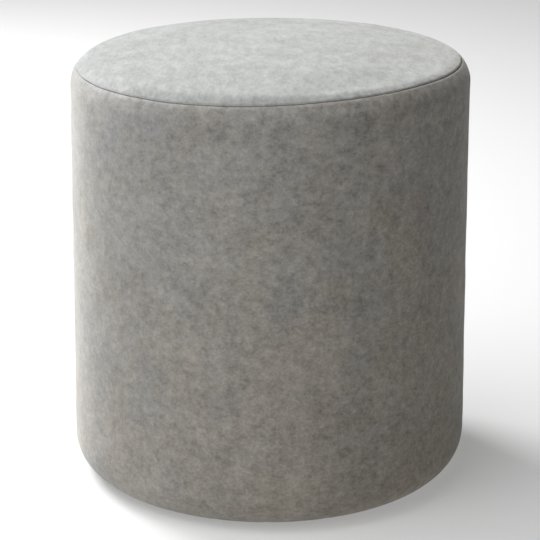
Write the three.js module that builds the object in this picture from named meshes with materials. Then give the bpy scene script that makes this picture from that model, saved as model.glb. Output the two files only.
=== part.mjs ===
// A round drum pouf, upholstered in one grey short-pile cloth and filled firmly.
// Three pieces of cloth make the outside: a round top panel, one long side panel sewn to it
// by a plain seam on the shoulder, and a round base panel that closes the underside.
// Millimetres, +Z up. The origin is on the floor under the middle of the pouf, its front faces -Y.
// Angles round the pouf start at +X and turn towards +Y.
import * as THREE from 'three';

// The drum: the wall is widest low down, swells a little and narrows towards the top.
const TOP_WALL_RADIUS = 197;
const WALL_FLARE = 2.9;
const WALL_SWELL = 1.6;
const SHOULDER_HEIGHT = 428;
const SHOULDER_ROUND = 25;
const BOTTOM_ROUND = 37;

// The seat: the shoulder arc ends at this angle above the level, and the crown goes on from there.
const CROWN_ANGLE = THREE.MathUtils.degToRad(83.5);

// The seam lies on the shoulder arc, at this angle above the level. It was sewn a little out of
// true: it slides up towards the right (+X) and down towards the left, wavers three times round
// the drum, and the cloth follows it there.
const SEAM_ANGLE = THREE.MathUtils.degToRad(42.5);
const SEAM_SLIDE = THREE.MathUtils.degToRad(7.5);
const SEAM_SLIDE_TOWARDS = THREE.MathUtils.degToRad(-26);
const SEAM_WAVER = THREE.MathUtils.degToRad(3);
const SEAM_WAVER_TOWARDS = THREE.MathUtils.degToRad(-49);
const SEAM_LIFT = 2.2;
const LIFT_REACH_DOWN = 150;
const LIFT_REACH_IN = 28;
const SEAM_LIP_ROUND = 2;
const SEAM_DEPTH = 3;

// The underside: a flat ring of the side panel's turned-under edge, and the base panel inside it.
const BASE_RADIUS = 150;
const BASE_THICKNESS = 3;
const BASE_EDGE_ROUND = 1.2;
const BOTTOM_ROUND_UNEVEN = 2.5;

// The filled cloth is not quite true to the circle.
const UNEVEN = 0.7;
const PIECE_GAP = 0.3;

// Steps round the drum and along each stretch of its outline.
const SIDES_ROUND = 96;
const WALL_STEPS = 7;
const BOTTOM_STEPS = 7;
const SHOULDER_STEPS = 4;
const LIP_STEPS = 3;
const CROWN_STEPS = 7;

const QUARTER = Math.PI / 2;

// Radius of the wall at a height, before the small unevenness.
function wallRadius(height) {
  const share = height / SHOULDER_HEIGHT;
  return TOP_WALL_RADIUS + WALL_FLARE * (1 - share) + 4 * WALL_SWELL * share * (1 - share);
}

// A slow wave round the wall and up it. It dies out at the floor and at the shoulder.
function unevenness(angle, height) {
  const fade = Math.sin(Math.PI * THREE.MathUtils.clamp(height / SHOULDER_HEIGHT, 0, 1));
  const broad = Math.cos(2 * angle + height / 150);
  const close = Math.cos(5 * angle - height / 90);
  return UNEVEN * fade * (0.6 * broad + 0.4 * close);
}

// How far the out-of-true seam lifts the cloth at a place near the shoulder.
function seamLift(angle, radius, height) {
  const low = SHOULDER_HEIGHT - LIFT_REACH_DOWN;
  const upTheWall = THREE.MathUtils.smoothstep(height, low, SHOULDER_HEIGHT - SHOULDER_ROUND / 2);
  const outwards = THREE.MathUtils.smoothstep(radius, TOP_WALL_RADIUS - LIFT_REACH_IN, TOP_WALL_RADIUS - 6);
  return SEAM_LIFT * Math.cos(angle) * upTheWall * outwards;
}

// A place on the shoulder arc, with the arc's outward direction there. u is the radius, v the height.
function shoulderPlace(arcAngle) {
  const height = SHOULDER_HEIGHT - SHOULDER_ROUND * (1 - Math.sin(arcAngle));
  const radius = wallRadius(height) - SHOULDER_ROUND * (1 - Math.cos(arcAngle));
  return {
    point: new THREE.Vector2(radius, height),
    outward: new THREE.Vector2(Math.cos(arcAngle), Math.sin(arcAngle)),
    upward: new THREE.Vector2(-Math.sin(arcAngle), Math.cos(arcAngle)),
  };
}

function seamAngleAt(angle) {
  const slide = SEAM_SLIDE * Math.cos(angle - SEAM_SLIDE_TOWARDS);
  const waver = SEAM_WAVER * Math.cos(3 * (angle - SEAM_WAVER_TOWARDS));
  return SEAM_ANGLE + slide + waver;
}

// The rolled edge of one panel at the seam, from the outside in: a quarter round and a short way
// down into the seam. side is -1 for the side panel, below the seam, and 1 for the top panel.
function seamLip(angle, side) {
  const arcAngle = seamAngleAt(angle);
  const seam = shoulderPlace(arcAngle);
  const halfGap = PIECE_GAP / 2 / Math.cos(arcAngle);
  const at = (along, depth) => seam.point.clone()
    .addScaledVector(seam.upward, side * along)
    .addScaledVector(seam.outward, -depth);
  const points = [];
  for (let step = 0; step <= LIP_STEPS; step++) {
    const turn = QUARTER * step / LIP_STEPS;
    const along = halfGap + SEAM_LIP_ROUND * (1 - Math.sin(turn));
    points.push(at(along, SEAM_LIP_ROUND * (1 - Math.cos(turn))));
  }
  points.push(at(halfGap, SEAM_DEPTH));
  return points;
}

// Arc points of the shoulder between two angles, without the first and the last.
function shoulderBetween(from, to, steps) {
  const points = [];
  for (let step = 1; step < steps; step++) {
    points.push(shoulderPlace(THREE.MathUtils.lerp(from, to, step / steps)).point);
  }
  return points;
}

const LIP_ARC_ANGLE = SEAM_LIP_ROUND * 1.15 / SHOULDER_ROUND;

// Outline of the side panel with its filling at one angle, from the middle of the underside, out
// and round to the middle of the face that the top panel lies on.
function sideOutline(angle) {
  const recessHeight = BASE_THICKNESS + PIECE_GAP;
  const recessRadius = BASE_RADIUS + PIECE_GAP;
  const points = [new THREE.Vector2(0, recessHeight), new THREE.Vector2(recessRadius, recessHeight)];
  for (let step = 0; step <= LIP_STEPS; step++) {
    const turn = QUARTER * step / LIP_STEPS;
    const out = recessRadius + BASE_EDGE_ROUND * (1 - Math.cos(turn));
    points.push(new THREE.Vector2(out, BASE_EDGE_ROUND * (1 - Math.sin(turn))));
  }
  const bottomRound = BOTTOM_ROUND + BOTTOM_ROUND_UNEVEN * Math.cos(angle);
  for (let step = 0; step <= BOTTOM_STEPS; step++) {
    const turn = QUARTER * step / BOTTOM_STEPS;
    const height = bottomRound * (1 - Math.cos(turn));
    points.push(new THREE.Vector2(wallRadius(height) - bottomRound * (1 - Math.sin(turn)), height));
  }
  const wallTop = SHOULDER_HEIGHT - SHOULDER_ROUND;
  for (let step = 1; step <= WALL_STEPS; step++) {
    const height = THREE.MathUtils.lerp(bottomRound, wallTop, step / WALL_STEPS);
    points.push(new THREE.Vector2(wallRadius(height), height));
  }
  points.push(...shoulderBetween(0, seamAngleAt(angle) - LIP_ARC_ANGLE, SHOULDER_STEPS));
  const lip = seamLip(angle, -1);
  points.push(...lip, new THREE.Vector2(0, seatFaceHeight() - PIECE_GAP / 2));
  return points;
}

// Height of the middle of the face between the top panel and the rest.
function seatFaceHeight() {
  const seam = shoulderPlace(SEAM_ANGLE);
  return seam.point.y - SEAM_DEPTH * seam.outward.y;
}

// Outline of the top panel with its filling, from the middle of its lower face, out and over
// the crown to the middle of the seat.
function topOutline(angle) {
  const points = [new THREE.Vector2(0, seatFaceHeight() + PIECE_GAP / 2)];
  points.push(...seamLip(angle, 1).reverse());
  points.push(...shoulderBetween(seamAngleAt(angle) + LIP_ARC_ANGLE, CROWN_ANGLE, SHOULDER_STEPS));
  const edge = shoulderPlace(CROWN_ANGLE).point;
  const crownRise = edge.x / 2 / Math.tan(CROWN_ANGLE);
  for (let step = 0; step <= CROWN_STEPS; step++) {
    const share = 1 - step / CROWN_STEPS;
    points.push(new THREE.Vector2(edge.x * share, edge.y + crownRise * (1 - share * share)));
  }
  return points;
}

// Outline of the base panel: a thin round of cloth with a soft lower edge.
function baseOutline() {
  const points = [new THREE.Vector2(0, 0)];
  for (let step = 0; step <= LIP_STEPS; step++) {
    const turn = QUARTER * step / LIP_STEPS;
    const out = BASE_RADIUS - BASE_EDGE_ROUND * (1 - Math.sin(turn));
    points.push(new THREE.Vector2(out, BASE_EDGE_ROUND * (1 - Math.cos(turn))));
  }
  points.push(new THREE.Vector2(BASE_RADIUS, BASE_THICKNESS), new THREE.Vector2(0, BASE_THICKNESS));
  return points;
}

// Turns an outline that may change with the angle into one closed solid. The outline runs from
// the axis, out over the underside and back to the axis on top, with the same number of points
// at every angle, so that its first and last points become the two poles.
function turnedSolid(outlineAt, isUneven) {
  const positions = [];
  const addPoint = (angle, point) => {
    const swell = isUneven ? unevenness(angle, point.y) : 0;
    const lift = isUneven ? seamLift(angle, point.x, point.y) : 0;
    const radius = point.x > 0 ? point.x + swell : 0;
    positions.push(radius * Math.cos(angle), radius * Math.sin(angle), point.y + lift);
  };
  const outlines = [];
  for (let side = 0; side < SIDES_ROUND; side++) {
    outlines.push(outlineAt(2 * Math.PI * side / SIDES_ROUND));
  }
  const ringCount = outlines[0].length - 2;
  addPoint(0, outlines[0][0]);
  for (let side = 0; side < SIDES_ROUND; side++) {
    const angle = 2 * Math.PI * side / SIDES_ROUND;
    outlines[side].slice(1, -1).forEach((point) => addPoint(angle, point));
  }
  addPoint(0, outlines[0].at(-1));

  const topPole = positions.length / 3 - 1;
  const ringPoint = (side, ring) => 1 + (side % SIDES_ROUND) * ringCount + ring;
  const faces = [];
  for (let side = 0; side < SIDES_ROUND; side++) {
    faces.push(0, ringPoint(side + 1, 0), ringPoint(side, 0));
    for (let ring = 0; ring < ringCount - 1; ring++) {
      const near = [ringPoint(side, ring), ringPoint(side + 1, ring)];
      const far = [ringPoint(side, ring + 1), ringPoint(side + 1, ring + 1)];
      faces.push(near[0], near[1], far[1], near[0], far[1], far[0]);
    }
    faces.push(ringPoint(side, ringCount - 1), ringPoint(side + 1, ringCount - 1), topPole);
  }
  const geometry = new THREE.BufferGeometry();
  geometry.setAttribute('position', new THREE.Float32BufferAttribute(positions, 3));
  geometry.setIndex(faces);
  geometry.computeVertexNormals();
  return geometry;
}

function clothPiece(name, geometry, colour) {
  const cloth = new THREE.MeshStandardMaterial({ color: colour, roughness: 0.95, metalness: 0 });
  const piece = new THREE.Mesh(geometry, cloth);
  piece.name = name;
  return piece;
}

const pouf = new THREE.Group();
pouf.add(clothPiece('side_panel', turnedSolid(sideOutline, true), 0x8f8c85));
pouf.add(clothPiece('top_panel', turnedSolid(topOutline, true), 0xb9bab6));
pouf.add(clothPiece('base_panel', turnedSolid(baseOutline, false), 0x5f5d59));

export default pouf;
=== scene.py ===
import math

import bpy
import numpy as np
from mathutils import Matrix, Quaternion, Vector


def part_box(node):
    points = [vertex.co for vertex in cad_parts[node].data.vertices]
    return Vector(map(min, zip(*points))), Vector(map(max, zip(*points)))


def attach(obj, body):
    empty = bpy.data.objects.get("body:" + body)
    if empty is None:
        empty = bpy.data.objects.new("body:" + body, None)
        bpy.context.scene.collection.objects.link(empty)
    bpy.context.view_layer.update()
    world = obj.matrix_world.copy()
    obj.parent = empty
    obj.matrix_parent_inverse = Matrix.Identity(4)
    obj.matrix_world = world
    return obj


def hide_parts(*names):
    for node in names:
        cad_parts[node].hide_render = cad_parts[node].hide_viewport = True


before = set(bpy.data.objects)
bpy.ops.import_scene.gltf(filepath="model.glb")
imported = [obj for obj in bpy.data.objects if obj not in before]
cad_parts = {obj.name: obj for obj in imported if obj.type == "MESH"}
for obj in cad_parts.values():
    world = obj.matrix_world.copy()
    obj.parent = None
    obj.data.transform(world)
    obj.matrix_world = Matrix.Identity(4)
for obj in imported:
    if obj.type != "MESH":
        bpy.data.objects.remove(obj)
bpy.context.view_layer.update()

# The camera
# A long lens about 2.2 m away and 18 degrees above the level, aimed just under the middle of
# the pouf and turned by a fifth of a degree, which is how the outline fits the photograph.
camera_data = bpy.data.cameras.new("camera")
camera_data.lens = 145.3
camera_data.sensor_width = 36.0
camera = bpy.data.objects.new("camera", camera_data)
bpy.context.scene.collection.objects.link(camera)
camera_place = Vector((0.0, -2.1121, 0.8894))
camera_aim = Vector((0.0004, 0.0, 0.2027))
camera_roll = 0.0028
camera.location = camera_place
camera.rotation_mode = "QUATERNION"
look = (camera_aim - camera_place).to_track_quat("-Z", "Y")
camera.rotation_quaternion = look @ Quaternion((0.0, 0.0, 1.0), camera_roll)
bpy.context.scene.camera = camera

# The side panel
# One strip of cloth round the whole drum, closed by a plain upright seam at the back. Its upper
# edge is sewn to the top panel on the shoulder. Its lower edge turns under with small gathers.
crown_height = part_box("top_panel")[1].z
base_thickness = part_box("base_panel")[1].z
base_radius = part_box("base_panel")[1].x
crown_above_shoulder = 0.0098
shoulder_height = crown_height - crown_above_shoulder
top_wall_radius = 0.197
wall_flare = 0.0029
wall_swell = 0.0016
shoulder_round = 0.025
bottom_round = 0.037
bottom_round_uneven = 0.0025
out_of_true = 0.0007
seam_rise = math.radians(42.5)
seam_slide = math.radians(7.5)
seam_slide_towards = math.radians(-26)
seam_waver = math.radians(3)
seam_waver_towards = math.radians(-49)
seam_wobble = 0.006
seam_lift = 0.0022
lift_reach_down = 0.15
lift_reach_in = 0.028
lip_round = 0.0025
side_lip_drop = 0.0004
top_lip_drop = 0.0008
seam_depth = 0.0034
piece_gap = 0.0003
columns = 240
back = math.pi / 2
crowding_at_back = 6
crowded_within = math.radians(1.6)


# Angles of the columns of the mesh. They stand closer at the back, round the closing seam.
def column_angles():
    fine = np.linspace(0, 2 * math.pi, 7201)
    crowding = 1 + crowding_at_back * np.exp(-(((fine - back) / crowded_within) ** 2))
    share = np.concatenate([[0], np.cumsum((crowding[1:] + crowding[:-1]) / 2)])
    return np.interp(np.arange(columns) / columns * share[-1], share, fine)


angle = column_angles()


def smooth_step(value, low, high):
    share = np.clip((value - low) / (high - low), 0, 1)
    return share * share * (3 - 2 * share)


# A bump of height 1 and this half width, for ridges and creases.
def ridge(distance, half_width):
    return np.exp(-((distance / half_width) ** 2))


# A smooth random relief over points in space, with a spread of 1, made of waves of these lengths.
def soft_relief(points, seed, shortest, longest, waves=60):
    random = np.random.default_rng(seed)
    total = np.zeros(len(points))
    for _ in range(waves):
        length = shortest * (longest / shortest) ** random.random()
        heading = random.normal(size=3)
        heading *= 2 * math.pi / length / np.linalg.norm(heading)
        total += np.cos(points @ heading + random.uniform(0, 2 * math.pi))
    return total / math.sqrt(waves / 2)


def wall_radius(height):
    share = height / shoulder_height
    return top_wall_radius + wall_flare * (1 - share) + 4 * wall_swell * share * (1 - share)


# A place on the shoulder arc, at an angle above the level, with its outward and upward directions.
def shoulder_place(arc_angle):
    height = shoulder_height - shoulder_round * (1 - np.sin(arc_angle))
    radius = wall_radius(height) - shoulder_round * (1 - np.cos(arc_angle))
    outward = np.array([np.cos(arc_angle), np.sin(arc_angle)])
    upward = np.array([-np.sin(arc_angle), np.cos(arc_angle)])
    return np.array([radius, height]), outward, upward


# Points round the drum at the wall's top, where the seam's own small unevenness is worked out.
def round_the_seam(around):
    return np.column_stack([np.cos(around), np.sin(around), 0 * around]) * top_wall_radius


seam_arc = seam_rise + seam_slide * np.cos(angle - seam_slide_towards)
seam_arc += seam_waver * np.cos(3 * (angle - seam_waver_towards))
seam_arc += seam_wobble * soft_relief(round_the_seam(angle), 4, 0.03, 0.15)


# Points of one ring of the mesh, from its radius and height, at every column or every second,
# fourth and so on.
def ring(radius, height, every=1):
    around = angle[::every]
    radius = np.broadcast_to(radius, angle.shape)[::every]
    height = np.broadcast_to(height, angle.shape)[::every]
    broad = np.cos(2 * around + height / 0.15)
    close = np.cos(5 * around - height / 0.09)
    fade = np.sin(math.pi * np.clip(height / shoulder_height, 0, 1))
    uneven = out_of_true * fade * (0.6 * broad + 0.4 * close)
    low = shoulder_height - lift_reach_down
    up_the_wall = smooth_step(height, low, shoulder_height - shoulder_round / 2)
    outwards = smooth_step(radius, top_wall_radius - lift_reach_in, top_wall_radius - 0.006)
    lift = seam_lift * np.cos(around) * up_the_wall * outwards
    radius = radius + uneven
    return np.column_stack([radius * np.cos(around), radius * np.sin(around), height + lift])


# The rolled edge of a panel at the seam, as rings from the outside in. side is -1 for the side
# panel, below the seam, and 1 for the top panel, and drop is how far the edge rolls down.
def seam_lip(side, drop):
    seam, outward, upward = shoulder_place(seam_arc)
    half_gap = piece_gap / 2 / np.cos(seam_arc)
    steps = [(turn, drop * (1 - math.cos(turn))) for turn in np.radians([0, 22, 45, 68, 90])]
    places = [(half_gap + lip_round * (1 - math.sin(turn)), depth) for turn, depth in steps]
    places += [(half_gap, (drop + seam_depth) / 2), (half_gap, seam_depth)]
    return [ring(*(seam + side * along * upward - depth * outward)) for along, depth in places]


# A closed mesh over rings of points, from the middle of the underside to the middle of the top.
# A ring may have half or twice as many points as the next, and the first and last have one.
def skin(name, rings):
    start = np.cumsum([0] + [len(points) for points in rings])
    faces = []
    for low, high, a, b in zip(rings, rings[1:], start, start[1:]):
        # m and n are how many points the lower and the upper ring have, a and b their first points.
        m, n = len(low), len(high)
        for i in range(min(m, n) if min(m, n) > 1 else max(m, n)):
            if m == n:
                faces.append((a + i, a + (i + 1) % m, b + (i + 1) % n, b + i))
            elif m == 1:
                faces.append((a, b + (i + 1) % n, b + i))
            elif n == 1:
                faces.append((a + i, a + (i + 1) % m, b))
            elif n == 2 * m:
                left, middle, right = b + 2 * i, b + 2 * i + 1, b + (2 * i + 2) % n
                low_left, low_right = a + i, a + (i + 1) % m
                faces.append((low_left, middle, left))
                faces.append((low_left, low_right, middle))
                faces.append((low_right, right, middle))
            else:
                left, middle, right = a + 2 * i, a + 2 * i + 1, a + (2 * i + 2) % m
                high_left, high_right = b + i, b + (i + 1) % n
                faces.append((left, middle, high_left))
                faces.append((middle, high_right, high_left))
                faces.append((middle, right, high_right))
    mesh = bpy.data.meshes.new(name)
    faces = [tuple(int(corner) for corner in face) for face in faces]
    mesh.from_pydata(np.concatenate(rings).tolist(), [], faces)
    mesh.shade_smooth()
    piece = bpy.data.objects.new(name, mesh)
    bpy.context.scene.collection.objects.link(piece)
    return piece


def places_of(mesh):
    places = np.empty(len(mesh.vertices) * 3, np.float32)
    mesh.vertices.foreach_get("co", places)
    return places.reshape(-1, 3).astype(float)


def move_to(mesh, places):
    mesh.vertices.foreach_set("co", places.astype(np.float32).ravel())
    mesh.update()


filling_steps = 20


# The filling presses the cloth outwards: a cloth simulation with pressure. held is how firmly
# each point is fixed, from 0 to 1, and no point moves by more than about most.
def fill(piece, held, most):
    before = places_of(piece.data)
    group = piece.vertex_groups.new(name="held")
    for index in np.flatnonzero(held > 0):
        group.add([int(index)], float(held[index]), "REPLACE")
    cloth = piece.modifiers.new("filling", "CLOTH")
    cloth.settings.quality = 5
    cloth.settings.mass = 0.3
    cloth.settings.tension_stiffness = 40
    cloth.settings.compression_stiffness = 40
    cloth.settings.shear_stiffness = 15
    cloth.settings.bending_stiffness = 2
    cloth.settings.use_pressure = True
    cloth.settings.uniform_pressure_force = 4
    cloth.settings.vertex_group_mass = "held"
    cloth.settings.effector_weights.gravity = 0
    cloth.point_cache.frame_start = 1
    cloth.point_cache.frame_end = filling_steps
    for step in range(1, filling_steps + 1):
        bpy.context.scene.frame_set(step)
    evaluated = piece.evaluated_get(bpy.context.evaluated_depsgraph_get())
    moved = places_of(evaluated.data) - before
    piece.modifiers.remove(cloth)
    piece.vertex_groups.remove(group)
    bpy.context.scene.frame_set(1)
    length = np.linalg.norm(moved, axis=1, keepdims=True)
    move_to(piece.data, before + moved * np.tanh(length / most) / np.maximum(length / most, 1e-9))


def subdivide(piece, levels):
    finer = piece.modifiers.new("finer", "SUBSURF")
    finer.levels = finer.render_levels = levels
    evaluated = piece.evaluated_get(bpy.context.evaluated_depsgraph_get())
    mesh = bpy.data.meshes.new_from_object(evaluated)
    piece.modifiers.remove(finer)
    piece.data = mesh
    mesh.name = piece.name
    mesh.shade_smooth()


# Raises the cloth by an amount at each point, or presses it in where the amount is negative.
def raise_cloth(piece, amount):
    normals = np.empty(len(piece.data.vertices) * 3, np.float32)
    piece.data.vertex_normals.foreach_get("vector", normals)
    move_to(piece.data, places_of(piece.data) + normals.reshape(-1, 3) * amount[:, None])


# Each point's angle round the drum, distance from its axis and height, and how far below the
# seam it lies, measured along the cloth.
def laid_out(piece):
    places = places_of(piece.data)
    around = np.arctan2(places[:, 1], places[:, 0])
    out = np.hypot(places[:, 0], places[:, 1])
    height = places[:, 2]
    up = height - seam_lift * np.cos(around) - (shoulder_height - shoulder_round)
    inwards = out - (wall_radius(height) - shoulder_round)
    along_arc = shoulder_round * np.arctan2(up, np.maximum(inwards, 1e-5))
    seam = np.interp(around, angle, seam_arc, period=2 * math.pi)
    below = shoulder_round * seam - np.where(up > 0, along_arc, up)
    return places, around, out, height, below


# The base panel lies in a shallow recess inside the turned-under edge. The wall is cut with a
# little slack, which the filling takes up.
recess_height = base_thickness + piece_gap
recess_radius = base_radius + piece_gap
edge_round = 0.0012
wall_slack = 0.0015


def side_rings():
    rings = [ring(0, recess_height, columns)]
    for radius, every in ((0.02, 16), (0.05, 8), (0.09, 4), (0.13, 2)):
        rings.append(ring(radius, recess_height, every))
    rings.append(ring(recess_radius - 0.002, recess_height))
    rings.append(ring(recess_radius, recess_height))
    for turn in np.radians([0, 30, 60, 90]):
        radius = recess_radius + edge_round * (1 - math.cos(turn))
        rings.append(ring(radius, edge_round * (1 - math.sin(turn))))
    lower_round = bottom_round + bottom_round_uneven * np.cos(angle)
    rings.append(ring((recess_radius + edge_round + wall_radius(0) - lower_round) / 2, 0))
    for turn in np.linspace(0, math.pi / 2, 12):
        height = lower_round * (1 - math.cos(turn))
        rings.append(ring(wall_radius(height) - lower_round * (1 - math.sin(turn)), height))
    wall_top = shoulder_height - shoulder_round
    for share in np.linspace(0, 1, 56)[1:]:
        height = lower_round + (wall_top - lower_round) * share
        rings.append(ring(wall_radius(height) - wall_slack * math.sin(math.pi * share), height))
    lip_arc = (lip_round * 1.1) / shoulder_round
    for share in np.linspace(0, 1, 11)[1:-1]:
        rings.append(ring(*shoulder_place((seam_arc - lip_arc) * share)[0]))
    rings += seam_lip(-1, side_lip_drop)
    face_height = rings[-1][:, 2].mean()
    for radius, every in ((0.17, 1), (0.13, 2), (0.09, 4), (0.05, 8), (0.02, 16)):
        rings.append(ring(radius, face_height, every))
    rings.append(ring(0, face_height, columns))
    return rings


side_cover = skin("side_cover", side_rings())
places, around, out, height, below = laid_out(side_cover)
free = smooth_step(height, 0.004, 0.03) * smooth_step(shoulder_height - height, 0.008, 0.02)
fill(side_cover, 1 - free * (out > 0.17), 0.003)
subdivide(side_cover, 1)

# The edge that is sewn down rolls up a little below the seam, more in some places than in
# others and least on the right, and the cloth lies in a faint hollow below that roll.
least_roll = 0.0001
patchy_roll = 0.0004
hollow_depth = 0.00025
places, around, out, height, below = laid_out(side_cover)
roll_patches = smooth_step(soft_relief(round_the_seam(around), 8, 0.012, 0.045), -1.0, 1.6)
outside = (out > top_wall_radius - 0.022) * (height > shoulder_height - 0.1)
flatter = 1 - 0.9 * smooth_step(np.cos(around), 0.3, 0.8)
roll = (least_roll + patchy_roll * roll_patches) * flatter * ridge(below - 0.0042, 0.0020) * outside
hollow = hollow_depth * flatter * ridge(below - 0.0105, 0.0045) * outside * (1 - 0.5 * roll_patches)

# The wall is never quite smooth over the filling.
wave_height = 0.00016
on_wall = smooth_step(height, 0.008, 0.05) * smooth_step(below, 0.004, 0.02) * (out > 0.17)
wall_waves = wave_height * soft_relief(places, 11, 0.028, 0.09) * on_wall

# The closing seam at the back: a narrow crease with a rolled edge on each side, pulled into
# small puckers by the stitches.
closing_depth = 0.0019
closing_edge_height = 0.00035
closing_pucker_height = 0.00022
from_closing = np.arctan2(np.sin(around - back), np.cos(around - back)) * out
on_closing = smooth_step(height, 0.0, 0.012) * (out > 0.14)
crease = -closing_depth * ridge(from_closing, 0.0011) * on_closing
edges = closing_edge_height * ridge(np.abs(from_closing) - 0.0032, 0.0018) * on_closing
pucker_phase = 2 * math.pi * height / 0.019 + 1.3 * np.sin(height / 0.021) + 0.9 * np.sign(from_closing)
puckers = closing_pucker_height * np.cos(pucker_phase) * ridge(np.abs(from_closing) - 0.006, 0.0075)
puckers *= on_closing * on_wall

# Underneath, the turned edge is gathered into small uneven folds that run out before the wall.
gather_count = 64
gather_depth = 0.0013
gather_phase = gather_count * (around + 0.021 * np.sin(7 * around) + 0.012 * np.sin(17 * around + 1))
fold = (0.5 + 0.5 * np.cos(gather_phase)) ** 1.5
fold_reach = 0.174 + 0.006 * np.sin(gather_phase / gather_count * 23)
under = (height < 0.012) * smooth_step(out, recess_radius - 0.0002, recess_radius + 0.0015)
gathers = -gather_depth * fold * (1 - smooth_step(out, fold_reach - 0.014, fold_reach + 0.006)) * under
raise_cloth(side_cover, roll - hollow + wall_waves + crease + edges + puckers + gathers)


# The pile is short and upright, brushed by use into pale and dark patches. The same cloth covers
# the side and the top. mottle is how strong the patches are, brushed how they are drawn out
# along the way the pile was stroked, and tinge how much the grey drifts between cool and warm.
# warm_down is how much browner it is near the floor. The warming towards the right is painted
# light, a warm cast of the light that falls on that side, and the argument after warm_down sets
# how strong it is. The last argument is the share of the mottling that stays at the left end; its
# fading there is painted light, standing in for the bright light and sheen that wash out the
# mottling and the bump on the left.
def pile_cloth(name, colour, sheen, mottle, brushed, tinge, warm_down, warm_light_right, lit_left_mottle):
    material = bpy.data.materials.new(name)
    material.use_nodes = True
    nodes, links = material.node_tree.nodes, material.node_tree.links
    shader = nodes["Principled BSDF"]
    shader.inputs["Sheen Weight"].default_value = sheen
    shader.inputs["Sheen Roughness"].default_value = 0.45
    shader.inputs["Sheen Tint"].default_value = (1.0, 0.99, 0.95, 1.0)
    shader.inputs["Specular IOR Level"].default_value = 0.15
    shader.inputs["Roughness"].default_value = 0.9
    coordinates = nodes.new("ShaderNodeTexCoord").outputs["Object"]

    # A random pattern between -amount and amount, at most, with this many patches to the metre.
    def patches(scale, detail, amount, stretch=(1, 1, 1)):
        mapping = nodes.new("ShaderNodeMapping")
        mapping.inputs["Scale"].default_value = stretch
        links.new(coordinates, mapping.inputs["Vector"])
        texture = nodes.new("ShaderNodeTexNoise")
        texture.inputs["Scale"].default_value = scale
        texture.inputs["Detail"].default_value = detail
        texture.inputs["Roughness"].default_value = 0.8
        links.new(mapping.outputs["Vector"], texture.inputs["Vector"])
        spread = nodes.new("ShaderNodeMapRange")
        spread.clamp = False
        spread.inputs["To Min"].default_value = -amount
        spread.inputs["To Max"].default_value = amount
        links.new(texture.outputs["Fac"], spread.inputs["Value"])
        return spread.outputs["Result"]

    def total(*values):
        result = values[0]
        for value in values[1:]:
            adding = nodes.new("ShaderNodeMath")
            links.new(result, adding.inputs[0])
            links.new(value, adding.inputs[1])
            result = adding.outputs["Value"]
        return result

    clouds = patches(18, 3, 0.34 * mottle)
    blotches = patches(110, 2, 0.55 * mottle, brushed)
    tufts = patches(360, 2, 0.38 * mottle, brushed)
    streaks = patches(200, 1, 0.04 * mottle, (1, 1, 0.22))

    place = nodes.new("ShaderNodeSeparateXYZ")
    links.new(coordinates, place.inputs["Vector"])

    # A slow change along one axis, from one value at its low end to another at its high end.
    def drift(axis, low_end, high_end, from_value, to_value):
        change = nodes.new("ShaderNodeMapRange")
        change.inputs["From Min"].default_value = low_end
        change.inputs["From Max"].default_value = high_end
        change.inputs["To Min"].default_value = from_value
        change.inputs["To Max"].default_value = to_value
        links.new(place.outputs[axis], change.inputs["Value"])
        return change.outputs["Result"]

    # Painted light: the mottling and bump fade towards the left end, standing in for the bright light
    # and sheen that wash them out there.
    lit_left_fade = drift("X", -top_wall_radius, 0, lit_left_mottle, 1)
    brightness = nodes.new("ShaderNodeMath")
    brightness.operation = "MULTIPLY_ADD"
    brightness.inputs[2].default_value = 1.0
    links.new(total(clouds, blotches, tufts, streaks), brightness.inputs[0])
    links.new(lit_left_fade, brightness.inputs[1])
    downwards = drift("Z", 0, shoulder_height, 0.5 + 0.5 * warm_down, 0.5 - 0.5 * warm_down)
    # Painted light: the cloth grows warmer towards the right, a warm cast of the light that falls on
    # that side.
    warm_light_rightwards = drift("X", -top_wall_radius, top_wall_radius, -0.4 * warm_light_right, warm_light_right)
    warm = nodes.new("ShaderNodeMix")
    warm.data_type = "RGBA"
    warm.inputs["A"].default_value = (colour[0] * 0.93, colour[1], colour[2] * 1.11, 1)
    warm.inputs["B"].default_value = (colour[0] * 1.07, colour[1], colour[2] * 0.89, 1)
    links.new(total(downwards, warm_light_rightwards, patches(16, 2, tinge)), warm.inputs["Factor"])
    tint = nodes.new("ShaderNodeVectorMath")
    tint.operation = "SCALE"
    links.new(warm.outputs["Result"], tint.inputs[0])
    links.new(brightness.outputs["Value"], tint.inputs["Scale"])
    links.new(tint.outputs["Vector"], shader.inputs["Base Color"])

    bump = nodes.new("ShaderNodeBump")
    bump.inputs["Strength"].default_value = 0.25
    bump.inputs["Distance"].default_value = 0.0006
    relief = nodes.new("ShaderNodeMath")
    relief.operation = "MULTIPLY"
    links.new(total(blotches, tufts), relief.inputs[0])
    links.new(lit_left_fade, relief.inputs[1])
    links.new(relief.outputs["Value"], bump.inputs["Height"])
    links.new(bump.outputs["Normal"], shader.inputs["Normal"])
    return material


side_pile = pile_cloth("side_pile", colour=(0.2725, 0.26, 0.238), sheen=0.3, mottle=1.0,
                       brushed=(1, 1, 1.15), tinge=0.4, warm_down=0.3, warm_light_right=0.22, lit_left_mottle=0.72)
side_cover.data.materials.append(side_pile)
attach(side_cover, "root")
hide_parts("side_panel")


# The top panel
# A round of the same cloth over the seat. It crowns softly, and its rim rolls down into the seam.
crown_angle = math.radians(83.5)

# The radius of each ring of the crown, and how many columns apart its points stand.
crown_rings = ((0.168, 1), (0.161, 1), (0.153, 1), (0.145, 1),
               (0.136, 2), (0.126, 2), (0.116, 2), (0.105, 2), (0.094, 2),
               (0.082, 4), (0.070, 4), (0.058, 4),
               (0.047, 8), (0.036, 8), (0.026, 16), (0.015, 16))


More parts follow.
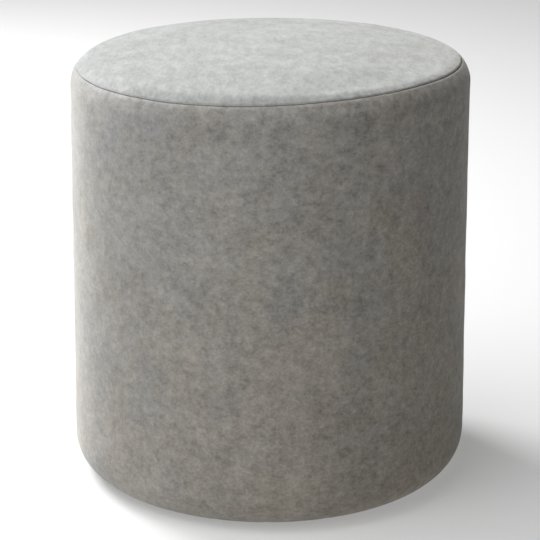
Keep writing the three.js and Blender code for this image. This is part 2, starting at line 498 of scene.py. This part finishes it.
def top_rings():
    lip = seam_lip(1, top_lip_drop)
    face_height = lip[-1][:, 2].mean()
    rings = [ring(0, face_height, columns)]
    for radius, every in ((0.02, 16), (0.05, 8), (0.09, 4), (0.13, 2), (0.17, 1)):
        rings.append(ring(radius, face_height, every))
    rings += lip[::-1]
    lip_arc = (lip_round * 1.1) / shoulder_round
    for share in np.linspace(0, 1, 9)[1:]:
        start = seam_arc + lip_arc
        rings.append(ring(*shoulder_place(start + (crown_angle - start) * share)[0]))
    (edge_radius, edge_height), _, _ = shoulder_place(crown_angle)
    rise = edge_radius / 2 / math.tan(crown_angle)
    for radius, every in crown_rings:
        share = radius / edge_radius
        rings.append(ring(radius, edge_height + rise * (1 - share * share), every))
    rings.append(ring(0, edge_height + rise, columns))
    return rings


top_cover = skin("top_cover", top_rings())
places, around, out, height, below = laid_out(top_cover)
fill(top_cover, 1 - smooth_step(0.18 - out, 0, 0.03) * (height > shoulder_height - 0.002), 0.002)
subdivide(top_cover, 1)

# Short puckers run in from the seam, and the seat has a few very soft hollows.
rim_pucker_height = 0.00012
seat_wave_height = 0.00018
places, around, out, height, below = laid_out(top_cover)
above = -below
on_top = (height > shoulder_height - 0.012) * smooth_step(above, 0.0012, 0.004)
pucker_waves = soft_relief(round_the_seam(around), 21, 0.010, 0.035)
rim_puckers = rim_pucker_height * pucker_waves * ridge(above - 0.005, 0.006) * (out > 0.165) * on_top
off_the_rim = smooth_step(0.19 - out, 0, 0.02)
seat_waves = seat_wave_height * soft_relief(places, 23, 0.035, 0.11) * on_top * off_the_rim
raise_cloth(top_cover, rim_puckers + seat_waves)

# Painted light: the top's copy of the cloth is a touch lighter and cooler and less mottled than the
# side's, standing in for the brighter light and sheen on the top.
top_pile_lit = pile_cloth("top_pile_lit", colour=(0.2655, 0.2735, 0.2675), sheen=0.3, mottle=0.68,
                      brushed=(1, 0.4, 1), tinge=0.1, warm_down=0.0, warm_light_right=0.06, lit_left_mottle=1.0)
top_cover.data.materials.append(top_pile_lit)
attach(top_cover, "root")
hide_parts("top_panel")


# The base panel
# A plain round of thin woven closing cloth, inside the turned-under edge of the side panel. A
# line of stitches near its edge holds it and draws it in.
stitch_radius = base_radius - 0.0065
stitch_groove = 0.0008
draw_in_height = 0.0003
stitch_height = 0.0005
stitch_pitch = 0.005
stitch_size = (0.0036, 0.0007, 0.0006)


def base_rings():
    rings = [ring(0, 0, columns)]
    for radius, every in ((0.02, 16), (0.05, 8), (0.09, 4), (0.12, 2)):
        rings.append(ring(radius, 0, every))
    for step in (-0.006, -0.0026, -0.0013, 0, 0.0013, 0.0026):
        rings.append(ring(stitch_radius + step, 0))
    for turn in np.radians([0, 30, 60, 90]):
        radius = base_radius - edge_round * (1 - math.sin(turn))
        rings.append(ring(radius, edge_round * (1 - math.cos(turn))))
    rings.append(ring(base_radius, base_thickness))
    for radius, every in ((0.148, 1), (0.13, 2), (0.09, 4), (0.05, 8), (0.02, 16)):
        rings.append(ring(radius, base_thickness, every))
    rings.append(ring(0, base_thickness, columns))
    return rings


base_cover = skin("base_cover", base_rings())
subdivide(base_cover, 1)
places, around, out, height, below = laid_out(base_cover)
lower_face = height < 0.0002
groove = stitch_groove * ridge(out - stitch_radius, 0.0011)
drawn = (0.5 + 0.5 * np.cos(72 * around + 2 * np.sin(9 * around))) * smooth_step(out, 0.105, 0.138)
drawn_in = draw_in_height * drawn * (1 - smooth_step(out, stitch_radius, stitch_radius + 0.003))
places[:, 2] += (groove + drawn_in) * lower_face
move_to(base_cover.data, places)


# A plain weave of fine threads that cross over and under each other.
def closing_cloth(name, colour, thread_pitch):
    material = bpy.data.materials.new(name)
    material.use_nodes = True
    nodes, links = material.node_tree.nodes, material.node_tree.links
    shader = nodes["Principled BSDF"]
    shader.inputs["Roughness"].default_value = 0.85
    shader.inputs["Specular IOR Level"].default_value = 0.3
    coordinates = nodes.new("ShaderNodeTexCoord").outputs["Object"]

    def calculate(operation, first, second=0.0):
        node = nodes.new("ShaderNodeMath")
        node.operation = operation
        for value, socket in zip((first, second), node.inputs):
            if isinstance(value, float):
                socket.default_value = value
            else:
                links.new(value, socket)
        return node.outputs["Value"]

    separate = nodes.new("ShaderNodeSeparateXYZ")
    links.new(coordinates, separate.inputs["Vector"])
    across = calculate("SINE", calculate("MULTIPLY", separate.outputs["X"], math.pi / thread_pitch))
    along = calculate("SINE", calculate("MULTIPLY", separate.outputs["Y"], math.pi / thread_pitch))
    over = calculate("MULTIPLY", across, along)
    slubs = nodes.new("ShaderNodeTexNoise")
    slubs.inputs["Scale"].default_value = 60
    slubs.inputs["Detail"].default_value = 4
    links.new(coordinates, slubs.inputs["Vector"])
    threads = calculate("ADD", calculate("MULTIPLY", over, 0.5), slubs.outputs["Fac"])
    ramp = nodes.new("ShaderNodeMix")
    ramp.data_type = "RGBA"
    ramp.inputs["A"].default_value = (*(channel * 0.55 for channel in colour), 1)
    ramp.inputs["B"].default_value = (*(channel * 1.45 for channel in colour), 1)
    links.new(threads, ramp.inputs["Factor"])
    links.new(ramp.outputs["Result"], shader.inputs["Base Color"])
    bump = nodes.new("ShaderNodeBump")
    bump.inputs["Strength"].default_value = 0.7
    bump.inputs["Distance"].default_value = 0.0002
    links.new(threads, bump.inputs["Height"])
    links.new(bump.outputs["Normal"], shader.inputs["Normal"])
    return material


base_cover.data.materials.append(closing_cloth("base_weave", (0.09, 0.09, 0.085), 0.0011))
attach(base_cover, "root")
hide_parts("base_panel")


# Sewing thread: twisted strands, slightly glossier than the cloth.
def thread_material(name, colour):
    material = bpy.data.materials.new(name)
    material.use_nodes = True
    nodes, links = material.node_tree.nodes, material.node_tree.links
    shader = nodes["Principled BSDF"]
    shader.inputs["Roughness"].default_value = 0.6
    shader.inputs["Specular IOR Level"].default_value = 0.4
    strands = nodes.new("ShaderNodeTexNoise")
    strands.inputs["Scale"].default_value = 2500
    links.new(nodes.new("ShaderNodeTexCoord").outputs["Object"], strands.inputs["Vector"])
    shade = nodes.new("ShaderNodeMix")
    shade.data_type = "RGBA"
    shade.inputs["A"].default_value = (*(channel * 0.7 for channel in colour), 1)
    shade.inputs["B"].default_value = (*(channel * 1.3 for channel in colour), 1)
    links.new(strands.outputs["Fac"], shade.inputs["Factor"])
    links.new(shade.outputs["Result"], shader.inputs["Base Color"])
    bump = nodes.new("ShaderNodeBump")
    bump.inputs["Strength"].default_value = 0.5
    bump.inputs["Distance"].default_value = 0.0001
    links.new(strands.outputs["Fac"], bump.inputs["Height"])
    links.new(bump.outputs["Normal"], shader.inputs["Normal"])
    return material


# The pattern of a line of stitches: one short thread at every pitch along a path, lying along it
# and turned outwards, each a little different in length.
def stitch_tree():
    tree = bpy.data.node_groups.new("line_of_stitches", "GeometryNodeTree")
    inputs = {}
    for label, kind in (("Path", "NodeSocketGeometry"), ("Pitch", "NodeSocketFloat"),
                        ("Size", "NodeSocketVector"), ("Seed", "NodeSocketInt"),
                        ("Thread", "NodeSocketMaterial")):
        inputs[label] = tree.interface.new_socket(label, in_out="INPUT", socket_type=kind)
    tree.interface.new_socket("Stitches", in_out="OUTPUT", socket_type="NodeSocketGeometry")
    nodes, links = tree.nodes, tree.links
    given = nodes.new("NodeGroupInput").outputs
    to_curve = nodes.new("GeometryNodeMeshToCurve")
    links.new(given["Path"], to_curve.inputs["Mesh"])
    even = nodes.new("GeometryNodeResampleCurve")
    even.mode = "LENGTH"
    links.new(to_curve.outputs["Curve"], even.inputs["Curve"])
    links.new(given["Pitch"], even.inputs["Length"])
    bead = nodes.new("GeometryNodeMeshUVSphere")
    bead.inputs["Segments"].default_value = 8
    bead.inputs["Rings"].default_value = 8
    bead.inputs["Radius"].default_value = 0.5
    stitch = nodes.new("GeometryNodeTransform")
    links.new(bead.outputs["Mesh"], stitch.inputs["Geometry"])
    links.new(given["Size"], stitch.inputs["Scale"])
    along = nodes.new("FunctionNodeAlignRotationToVector")
    along.axis = "X"
    links.new(nodes.new("GeometryNodeInputTangent").outputs["Tangent"], along.inputs["Vector"])
    outward = nodes.new("GeometryNodeInputNamedAttribute")
    outward.data_type = "FLOAT_VECTOR"
    outward.inputs["Name"].default_value = "outward"
    facing = nodes.new("FunctionNodeAlignRotationToVector")
    facing.axis = "Z"
    facing.pivot_axis = "X"
    links.new(along.outputs["Rotation"], facing.inputs["Rotation"])
    links.new(outward.outputs["Attribute"], facing.inputs["Vector"])
    uneven = nodes.new("FunctionNodeRandomValue")
    uneven.data_type = "FLOAT_VECTOR"
    uneven.inputs["Min"].default_value = (0.9, 1.0, 1.0)
    uneven.inputs["Max"].default_value = (1.1, 1.0, 1.0)
    links.new(given["Seed"], uneven.inputs["Seed"])
    place = nodes.new("GeometryNodeInstanceOnPoints")
    links.new(even.outputs["Curve"], place.inputs["Points"])
    links.new(stitch.outputs["Geometry"], place.inputs["Instance"])
    links.new(facing.outputs["Rotation"], place.inputs["Rotation"])
    links.new(uneven.outputs["Value"], place.inputs["Scale"])
    real = nodes.new("GeometryNodeRealizeInstances")
    links.new(place.outputs["Instances"], real.inputs["Geometry"])
    coloured = nodes.new("GeometryNodeSetMaterial")
    links.new(real.outputs["Geometry"], coloured.inputs["Geometry"])
    links.new(given["Thread"], coloured.inputs["Material"])
    links.new(coloured.outputs["Geometry"], nodes.new("NodeGroupOutput").inputs["Stitches"])
    return tree, inputs


# A closed line of stitches through these points. size is their length, width and thickness.
def stitches(name, points, outwards, pitch, size, seed, thread):
    count = len(points)
    path = bpy.data.meshes.new(name)
    path.from_pydata(points, [(i, (i + 1) % count) for i in range(count)], [])
    attribute = path.attributes.new("outward", "FLOAT_VECTOR", "POINT")
    attribute.data.foreach_set("vector", np.asarray(outwards, np.float32).ravel())
    piece = bpy.data.objects.new(name, path)
    bpy.context.scene.collection.objects.link(piece)
    tree, inputs = stitch_tree()
    sewing = piece.modifiers.new("sewing", "NODES")
    sewing.node_group = tree
    for label, value in (("Pitch", pitch), ("Size", size), ("Seed", seed), ("Thread", thread)):
        sewing[inputs[label].identifier] = value
    evaluated = piece.evaluated_get(bpy.context.evaluated_depsgraph_get())
    mesh = bpy.data.meshes.new_from_object(evaluated)
    piece.modifiers.remove(sewing)
    piece.data = mesh
    mesh.name = name
    mesh.shade_smooth()
    return piece


stitch_line = np.radians(np.arange(360))
stitch_points = [(stitch_radius * math.cos(turn), stitch_radius * math.sin(turn), stitch_height)
                 for turn in stitch_line]
base_thread = thread_material("base_thread", (0.14, 0.14, 0.13))
base_stitches = stitches("base_stitches", stitch_points, outwards=[(0, 0, -1)] * len(stitch_points),
                         pitch=stitch_pitch, size=stitch_size, seed=5, thread=base_thread)
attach(base_stitches, "root")


# The floor
# A plain pale studio floor that reaches past the whole picture.
floor_reach = 20.0
floor_mesh = bpy.data.meshes.new("floor")
corners = [(-floor_reach, -floor_reach, 0), (floor_reach, -floor_reach, 0),
           (floor_reach, floor_reach, 0), (-floor_reach, floor_reach, 0)]
floor_mesh.from_pydata(corners, [], [(0, 1, 2, 3)])
floor = bpy.data.objects.new("floor", floor_mesh)
bpy.context.scene.collection.objects.link(floor)
floor_paint = bpy.data.materials.new("floor_paint")
floor_paint.use_nodes = True
floor_shader = floor_paint.node_tree.nodes["Principled BSDF"]
floor_shader.inputs["Base Color"].default_value = (0.45, 0.45, 0.45, 1)
floor_shader.inputs["Emission Color"].default_value = (1, 1, 1, 1)
floor_shader.inputs["Emission Strength"].default_value = 0.3
floor_shader.inputs["Roughness"].default_value = 0.9
floor_shader.inputs["Specular IOR Level"].default_value = 0.2
floor_mesh.materials.append(floor_paint)


# The light
# Soft studio light: a lamp behind on the left, a wide one high up on the left, and a wide weak
# one in front. The pale floor glows a little, like a lit white table, and fills the shadows.
lamp_distance = 2.6


# Azimuths run from the front towards the right, in degrees, and powers are in watts.
def lamp(name, azimuth, elevation, width, power):
    data = bpy.data.lights.new(name, "AREA")
    data.shape = "DISK"
    data.size = width
    data.energy = power
    light = bpy.data.objects.new(name, data)
    bpy.context.scene.collection.objects.link(light)
    a, e = math.radians(azimuth), math.radians(elevation)
    direction = Vector((math.sin(a) * math.cos(e), -math.cos(a) * math.cos(e), math.sin(e)))
    aim = Vector((0, 0, 0.25))
    light.location = aim + direction * lamp_distance
    light.rotation_mode = "QUATERNION"
    light.rotation_quaternion = direction.to_track_quat("Z", "Y")


lamp("back_lamp", azimuth=-135, elevation=35, width=1.2, power=100)
lamp("upper_lamp", azimuth=-90, elevation=65, width=2.6, power=69)
lamp("front_lamp", azimuth=-35, elevation=40, width=2.4, power=31)
world = bpy.data.worlds.new("room")
world.use_nodes = True
world.node_tree.nodes["Background"].inputs["Color"].default_value = (1, 1, 1, 1)
world.node_tree.nodes["Background"].inputs["Strength"].default_value = 0.01
bpy.context.scene.world = world
bpy.context.scene.view_settings.view_transform = "Standard"
